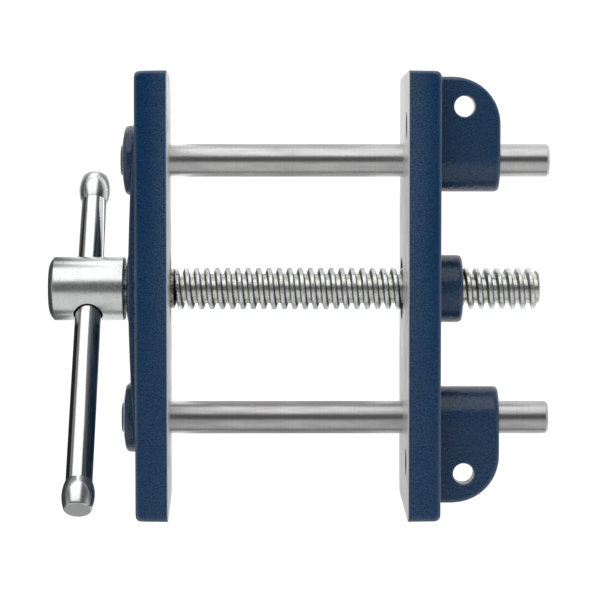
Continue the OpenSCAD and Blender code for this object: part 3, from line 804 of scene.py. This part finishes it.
head_plating = bright_plating("head_plating", (1.0, 0.0, 0.0), smooth=0.20, dull=0.32, metal=0.94)
head_profile = [(HEAD_FRONT_X, 0), (HEAD_FRONT_X, HEAD_FACE_R * HEAD_FLAT_SHARE),
                (HEAD_FRONT_X + HEAD_FACE_FALL, HEAD_FACE_R)]
for step in range(1, HEAD_DOME_STEPS + 1):
    swing = math.pi / 2 * step / HEAD_DOME_STEPS
    short = (HEAD_DOME - HEAD_FACE_FALL) * math.cos(swing) ** HEAD_DOME_POWER
    rise = (HEAD_R - HEAD_FACE_R) * math.sin(swing) ** HEAD_DOME_POWER
    head_profile.append((HEAD_FRONT_X + HEAD_DOME - short, HEAD_FACE_R + rise))
head_profile += [(HEAD_REAR_X - HEAD_REAR_EDGE, HEAD_R), (HEAD_REAR_X, HEAD_R - HEAD_REAR_EDGE),
                 (HEAD_REAR_X, 0)]
blank = bmesh.new()
add_turned(blank, head_profile, along_x(0, SCREW_Z), segments=160)
cross_hole = bmesh.new()
to_bar_line = Vector((1, 0, 0)).rotation_difference(BAR_LINE).to_matrix().to_4x4()
on_bar = Matrix.Translation((BAR_X, 0, SCREW_Z)) @ to_bar_line
add_turned(cross_hole, bore_profile(-BAR_HOLE_HALF, BAR_HOLE_HALF, BAR_HOLE_R), on_bar, segments=128)
screw_head = as_piece("turned_screw_head", blank, head_plating)
drill = as_piece("cross_drill", cross_hole, head_plating)
cut_with(screw_head, drill)
settle(screw_head, drill)
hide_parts("screw_head")
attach(screw_head, "screw")

# Handle bar
# A drawn round bar, bright plated, that slides through the head; each end has a tenon inside its knob.
# The mesh runs into both knobs, as the real tenons do.
BAR_R = 5.0
BAR_SHIFT = 22.5
KNOB_IN = 63.9
BAR_TENON_R = 3.5
BAR_TENON = 7.0
BAR_EDGE = 0.05
bar_plating = bright_plating("bar_plating", tuple(BAR_LINE), smooth=0.07, dull=0.15, metal=1.0)
along_bar = on_bar @ Matrix.Translation((BAR_SHIFT, 0, 0))
half_bar = [(KNOB_IN - BAR_EDGE, BAR_R), (KNOB_IN, BAR_R - BAR_EDGE), (KNOB_IN, BAR_TENON_R),
            (KNOB_IN + BAR_TENON, BAR_TENON_R), (KNOB_IN + BAR_TENON, 0)]
other_half = [(-along, radius) for along, radius in reversed(half_bar)]
blank = bmesh.new()
add_turned(blank, other_half + half_bar, along_bar, segments=128)
handle_bar = as_piece("sliding_handle_bar", blank, bar_plating)
soft_shaded(handle_bar.data)
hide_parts("handle_bar")
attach(handle_bar, "bar")

# End knobs
# Two turned barrels pressed on the bar's tenons, plated with it; a fine line is left where they meet the bar.
# Their outer faces are cut flat.
KNOB_LEN = 11.7
KNOB_R = 6.15
KNOB_FACE_R = 5.15
KNOB_EDGE = 0.25
KNOB_LINE = 0.1
KNOB_STEPS = 24
knob_sag = KNOB_R - KNOB_FACE_R
knob_bow_r = ((KNOB_LEN / 2) ** 2 + knob_sag ** 2) / (2 * knob_sag)
knob_plating = bright_plating("knob_plating", tuple(BAR_LINE), smooth=0.16, dull=0.28, metal=0.94)
barrel = [(KNOB_IN, 0), (KNOB_IN, KNOB_FACE_R - KNOB_LINE)]
for step in range(KNOB_STEPS + 1):
    station = KNOB_LEN * (step / KNOB_STEPS - 0.5)
    bulge = knob_bow_r - math.sqrt(knob_bow_r ** 2 - station ** 2)
    barrel.append((KNOB_IN + KNOB_LEN / 2 + station * (KNOB_LEN - 2 * KNOB_EDGE) / KNOB_LEN, KNOB_R - bulge))
barrel += [(KNOB_IN + KNOB_LEN, KNOB_FACE_R - KNOB_EDGE), (KNOB_IN + KNOB_LEN, 0)]
for end, label in ((1, "long"), (-1, "short")):
    blank = bmesh.new()
    add_turned(blank, [(end * along, radius) for along, radius in barrel], along_bar, segments=128)
    knob = as_piece(f"turned_knob_{label}", blank, knob_plating)
    soft_shaded(knob.data)
    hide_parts(f"knob_{label}")
    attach(knob, "bar")

# Studio
# A plain pale floor, white to the camera and low enough for the bar to swing clear of it. Just under the vise
# lies a sheet that only reflections show, glowing with painted reflections in grey and white and a painted
# shadow under the front jaw. The key softbox is on the far side, with a fill opposite, and the camera stands
# high over the vise and looks almost straight down on it.
SHEET_HALF = 3000.0
FLOOR_Z = -150.0
FLOOR_WHITE = 0.93
FLOOR_IN_METAL = (0.62, 0.05)
FLOOR_FADE = (40.0 * MM, 100.0 * MM)
FLOOR_PALE = 0.22
REFLECTION_SHEET_Z = -55.0


def add_sheet(name, height, finish):
    """A wide level sheet of the studio, which isn't part of the vise."""
    sheet = bmesh.new()
    corners = [(SHEET_HALF * x, SHEET_HALF * y, height) for x, y in ((-1, -1), (1, -1), (1, 1), (-1, 1))]
    sheet.faces.new([sheet.verts.new(corner) for corner in corners])
    laid = as_piece(name, sheet, finish)
    return laid


def seen_plainly(tree, ray):
    """A mask that is 1 for what the camera sees, also through something clear."""
    return maths(tree, "MAXIMUM", ray["Is Camera Ray"], ray["Is Transmission Ray"])


floor_pale, tree, surface, place = new_finish("floor_pale")
tree.nodes.remove(surface)
ray = wire(tree, "ShaderNodeLightPath").outputs
axes = wire(tree, "ShaderNodeSeparateXYZ", Vector=place).outputs
# in reflections the floor glows with a painted reflection tone: 0.62 near the vise, fading to 0.05 further
# out along Y
in_metal = ramp(tree, maths(tree, "ABSOLUTE", axes["Y"]), *FLOOR_FADE, *FLOOR_IN_METAL, smooth=True)
mirrored = product(tree, in_metal, ray["Is Glossy Ray"])
white = maths(tree, "MULTIPLY_ADD", seen_plainly(tree, ray), FLOOR_WHITE, mirrored)
glow = wire(tree, "ShaderNodeEmission", Color=(1, 1, 1, 1), Strength=white)
matt = wire(tree, "ShaderNodeBsdfDiffuse", Color=(FLOOR_PALE, FLOOR_PALE, FLOOR_PALE, 1))
both = wire(tree, "ShaderNodeAddShader", i0=glow.outputs[0], i1=matt.outputs[0])
feed(tree, tree.nodes["Material Output"], Surface=both.outputs[0])
add_sheet("floor", FLOOR_Z, floor_pale)

# the painted reflection tones of the sheet, made of smooth steps along X, along Y and along a line that
# slants a little
painted_reflection_tones, tree, surface, place = new_finish("painted_reflection_tones")
tree.nodes.remove(surface)
ray = wire(tree, "ShaderNodeLightPath").outputs
axes = wire(tree, "ShaderNodeSeparateXYZ", Vector=place).outputs
far_out = maths(tree, "ABSOLUTE", axes["Y"])
slant = maths(tree, "MULTIPLY_ADD", far_out, 0.1, axes["X"])


def reflection_step(station, start, end, first, last):
    """A smooth step in the painted reflection tone, between two stations in millimetres."""
    return ramp(tree, station, start * MM, end * MM, first, last, smooth=True)


def total(tree, first, *others):
    """Gives all the values added together."""
    for other in others:
        first = maths(tree, "ADD", first, other)
    return first


# before the front jaw, for the head and the bar: white on the far side, grey beside them, dark further out
behind_head = product(tree, reflection_step(axes["Y"], 66, 85, 0.50, 1.45), reflection_step(axes["Y"], 35, 50, 1.8, 1.0))
left_dark_reflection = product(tree, reflection_step(axes["Y"], 70, 100, -0.86, 0.0),
                    reflection_step(axes["Y"], -160, -120, 0.0, 1.0))
left_dark_reflection = product(tree, reflection_step(axes["X"], -168, -153.5, 1.0, 0.0), left_dark_reflection)
left_dark_reflection = product(tree, total(tree, left_dark_reflection, 1.0), reflection_step(slant, -196, -174, 0.15, 1.0))
beside_head = product(tree, behind_head, left_dark_reflection)

# between the jaws, for the rods and the screw: grey in the middle, a painted shade under the vise, lighter
# along the gripping faces
under_rod = product(tree, reflection_step(axes["Y"], 8, 22, 0.52, 0.44), reflection_step(axes["Y"], 40, 50, 1.0, 1.7))
between = product(tree, reflection_step(axes["X"], -109.5, -106.5, 0.0, 1.0),
                  reflection_step(axes["X"], -36, -29, 1.0, 0.0))
by_faces = total(tree, reflection_step(axes["X"], -109.5, -106.5, 1.75, 0.0),
                 reflection_step(axes["X"], -36, -29, 0.0, 0.92))
by_faces = product(tree, by_faces, reflection_step(axes["Y"], -80, 80, 0.92, 1.06))
in_gap = total(tree, product(tree, under_rod, between), by_faces)

# both are joined under the front jaw, where a painted shadow makes them dark, and fade on the near side
past_jaw = reflection_step(axes["X"], -122, -115, 0.0, 1.0)
tone = wire(tree, "ShaderNodeMix", {"data_type": "FLOAT"}, i0=past_jaw, i2=beside_head, i3=in_gap)
painted_shadow_under_jaw = product(tree, reflection_step(axes["X"], -132, -128, 0.0, -0.80),
                    reflection_step(axes["X"], -118, -114.5, 1.0, 0.0))
near_side = reflection_step(axes["Y"], -280, -160, 0.36, 1.0)
painted_reflections = product(tree, tone.outputs[0], total(tree, painted_shadow_under_jaw, 1.0), near_side, ray["Is Glossy Ray"])
glow = wire(tree, "ShaderNodeEmission", Color=(1, 1, 1, 1), Strength=painted_reflections)
from_below = wire(tree, "ShaderNodeNewGeometry").outputs["Backfacing"]
one_sided = wire(tree, "ShaderNodeMixShader", i0=from_below, i1=glow.outputs[0],
                 i2=wire(tree, "ShaderNodeBsdfTransparent").outputs[0])
feed(tree, tree.nodes["Material Output"], Surface=one_sided.outputs[0])
painted_reflection_sheet = add_sheet("painted_reflections", REFLECTION_SHEET_Z, painted_reflection_tones)
for kind_of_ray in ("camera", "diffuse", "transmission", "volume_scatter", "shadow"):
    setattr(painted_reflection_sheet, f"visible_{kind_of_ray}", False)

# the softboxes stand in the world, by their direction
KEY_LEVEL = 1.25
FILL_LEVEL = 0.60
LEFT_LEVEL = 0.30
RIGHT_LEVEL = 0.40
DARK_LEVEL = 0.07
studio = bpy.data.worlds.new("studio")
bpy.context.scene.world = studio
studio.use_nodes = True
tree = studio.node_tree
tree.nodes.clear()
heading = wire(tree, "ShaderNodeTexCoord").outputs["Generated"]
axes = wire(tree, "ShaderNodeSeparateXYZ", Vector=heading).outputs
tilt = maths(tree, "ARCTAN2", axes["Y"], axes["Z"])
aside = maths(tree, "ARCSINE", axes["X"])


def softbox(level, low, high, blur, left, right, side_blur):
    """A soft bright panel, in degrees: low to high from the zenith towards +Y, left to right towards +X."""
    def step(value, start, end):
        return ramp(tree, value, math.radians(start), math.radians(end), smooth=True)

    return product(tree, step(tilt, low - blur, low + blur), step(tilt, high + blur, high - blur),
                   step(aside, left - side_blur, left + side_blur),
                   step(aside, right + side_blur, right - side_blur), level)


key_panel = softbox(KEY_LEVEL, low=32, high=112, blur=5, left=-46, right=18, side_blur=7)
fill_panel = softbox(FILL_LEVEL, low=-84, high=-12, blur=4, left=-58, right=58, side_blur=10)
left_panel = softbox(LEFT_LEVEL, low=-70, high=70, blur=12, left=-100, right=-62, side_blur=10)
right_panel = softbox(RIGHT_LEVEL, low=-70, high=70, blur=12, left=62, right=100, side_blur=10)
panels = total(tree, key_panel, fill_panel, left_panel, right_panel, DARK_LEVEL)
ray = wire(tree, "ShaderNodeLightPath").outputs
level = wire(tree, "ShaderNodeMix", {"data_type": "FLOAT"}, i0=seen_plainly(tree, ray), i2=panels, i3=1.0)
sky = wire(tree, "ShaderNodeBackground", Color=(1, 1, 1, 1), Strength=level.outputs[0])
feed(tree, wire(tree, "ShaderNodeOutputWorld"), Surface=sky.outputs[0])

lamp = bpy.data.lights.new("overhead_softbox", "AREA")
lamp.shape = "DISK"
lamp.size = 0.9
lamp.energy = 9.0
overhead = bpy.data.objects.new("overhead_softbox", lamp)
overhead.location = (-0.05, 0.10, 1.35)
overhead.visible_glossy = False
bpy.context.scene.collection.objects.link(overhead)

lens = bpy.data.cameras.new("camera")
lens.lens = 151.373
lens.sensor_width = 36.0
lens.clip_start = 0.01
camera = bpy.data.objects.new("camera", lens)
camera.location = (-0.0659756, 0.0568589, 0.9571552)
camera.rotation_euler = (-0.0629, -0.00369, -0.00004)
bpy.context.scene.collection.objects.link(camera)
bpy.context.scene.camera = camera
bpy.context.scene.view_settings.view_transform = "Standard"
